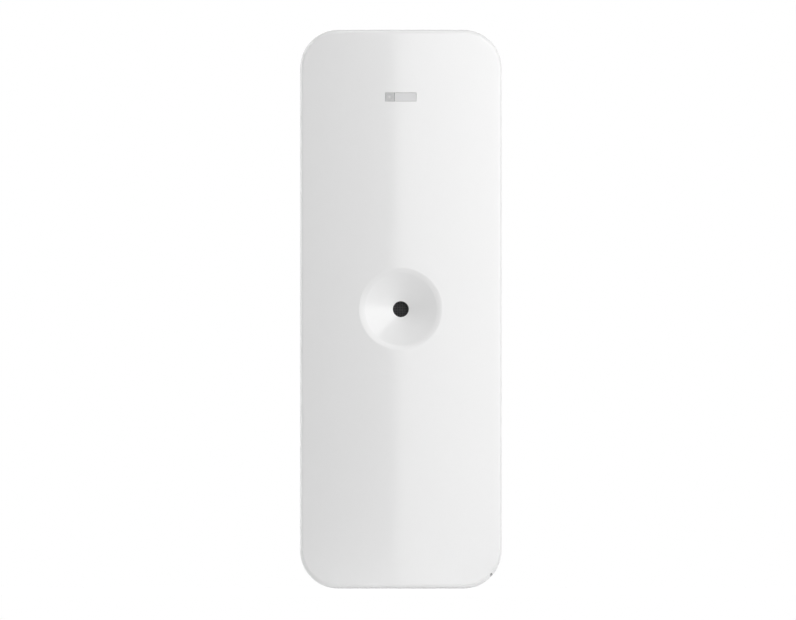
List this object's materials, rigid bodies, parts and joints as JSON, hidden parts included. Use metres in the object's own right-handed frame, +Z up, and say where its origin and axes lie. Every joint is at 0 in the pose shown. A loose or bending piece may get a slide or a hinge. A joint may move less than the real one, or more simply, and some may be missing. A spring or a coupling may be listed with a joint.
{
  "type": "glass break sensor",
  "caption": "Tall white wall-mounted acoustic glass break sensor: curved front, dished microphone port, small indicator window, and a housing that pulls off a wall plate.",
  "frame": {"origin": "centre of the back plate's wall face", "axes": "+Z up along the tall side, +Y into the wall, -Y out of the curved front, +X to the right seen from the front"},
  "size_m": [0.0386, 0.0215, 0.107],
  "materials": {
    "case_white": "fine matt texture, white",
    "plate_white": "plain moulded white",
    "foam_grey": "fine closed-cell foam",
    "mesh_grey": "woven acoustic mesh",
    "capsule_metal": "satin can",
    "boot_rubber": "matt moulded rubber",
    "smoked_lens": "smoked grey",
    "frosted_lens": "frosted pale grey",
    "lamp_body": "clear resin over white",
    "baffle_black": "matt black",
    "board_green": "green solder resist",
    "screw_steel": "zinc plated",
    "cell_sleeve": "printed film sleeve in two plain colours",
    "cradle_black": "matt black moulding",
    "contact_nickel": "nickel plated spring strip",
    "screen_tin": "tinned sheet",
    "chip_black": "moulded resin",
    "antenna_wire": "enamelled copper wire",
    "crystal_can": "pressed can",
    "capacitor_can": "bare aluminium can",
    "capacitor_black": "moulded base",
    "ceramic_tan": "tan ceramic",
    "resistor_black": "black glaze",
    "header_black": "moulded strip",
    "pin_gold": "gold plated",
    "switch_black": "moulded switch body",
    "button_ivory": "moulded button",
    "slide_switch_blue": "moulded switch body",
    "slider_white": "moulded slider"
  },
  "bodies": {
    "plate": {"back_plate": "plate_white", "battery_pad": "foam_grey"},
    "housing": {"front_cover": "case_white", "port_mesh": "mesh_grey", "microphone": "capsule_metal", "mic_boot": "boot_rubber", "event_lens": "smoked_lens", "alarm_lens": "frosted_lens", "event_led": "lamp_body", "alarm_led": "lamp_body", "light_baffle": "baffle_black", "circuit_board": "board_green", "board_screws": "screw_steel", "battery": "cell_sleeve", "battery_cradle": "cradle_black", "positive_contact": "contact_nickel", "negative_contact": "contact_nickel", "radio_shield": "screen_tin", "radio_chip": "chip_black", "antenna": "antenna_wire", "controller_chip": "chip_black", "amplifier_chip": "chip_black", "crystal": "crystal_can", "storage_capacitor": "capacitor_can", "capacitor_base": "capacitor_black", "chip_capacitors": "ceramic_tan", "chip_resistors": "resistor_black", "service_header": "header_black", "header_pins": "pin_gold", "pair_switch": "switch_black", "tamper_switch": "switch_black", "sensitivity_switch": "slide_switch_blue"},
    "tamper": {"tamper_plunger": "button_ivory"},
    "pair_push": {"pair_button": "button_ivory"},
    "slider_1": {"sensitivity_slider_1": "slider_white"},
    "slider_2": {"sensitivity_slider_2": "slider_white"}
  },
  "joints": [
    {"name": "housing_pull_off", "type": "slide", "parent": "plate", "child": "housing", "axis": [0, -1, 0], "range_m": [0, 0.03]},
    {"name": "tamper_press", "type": "slide", "parent": "housing", "child": "tamper", "axis": [0, -1, 0], "range_m": [0, 0.0008], "stiffness_N_per_m": 600},
    {"name": "pair_press", "type": "slide", "parent": "housing", "child": "pair_push", "axis": [0, -1, 0], "range_m": [0, 0.0003], "stiffness_N_per_m": 2500},
    {"name": "slider_1_slide", "type": "slide", "parent": "housing", "child": "slider_1", "axis": [0, 0, 1], "range_m": [0, 0.0016]},
    {"name": "slider_2_slide", "type": "slide", "parent": "housing", "child": "slider_2", "axis": [0, 0, 1], "range_m": [0, 0.0016]}
  ]
}
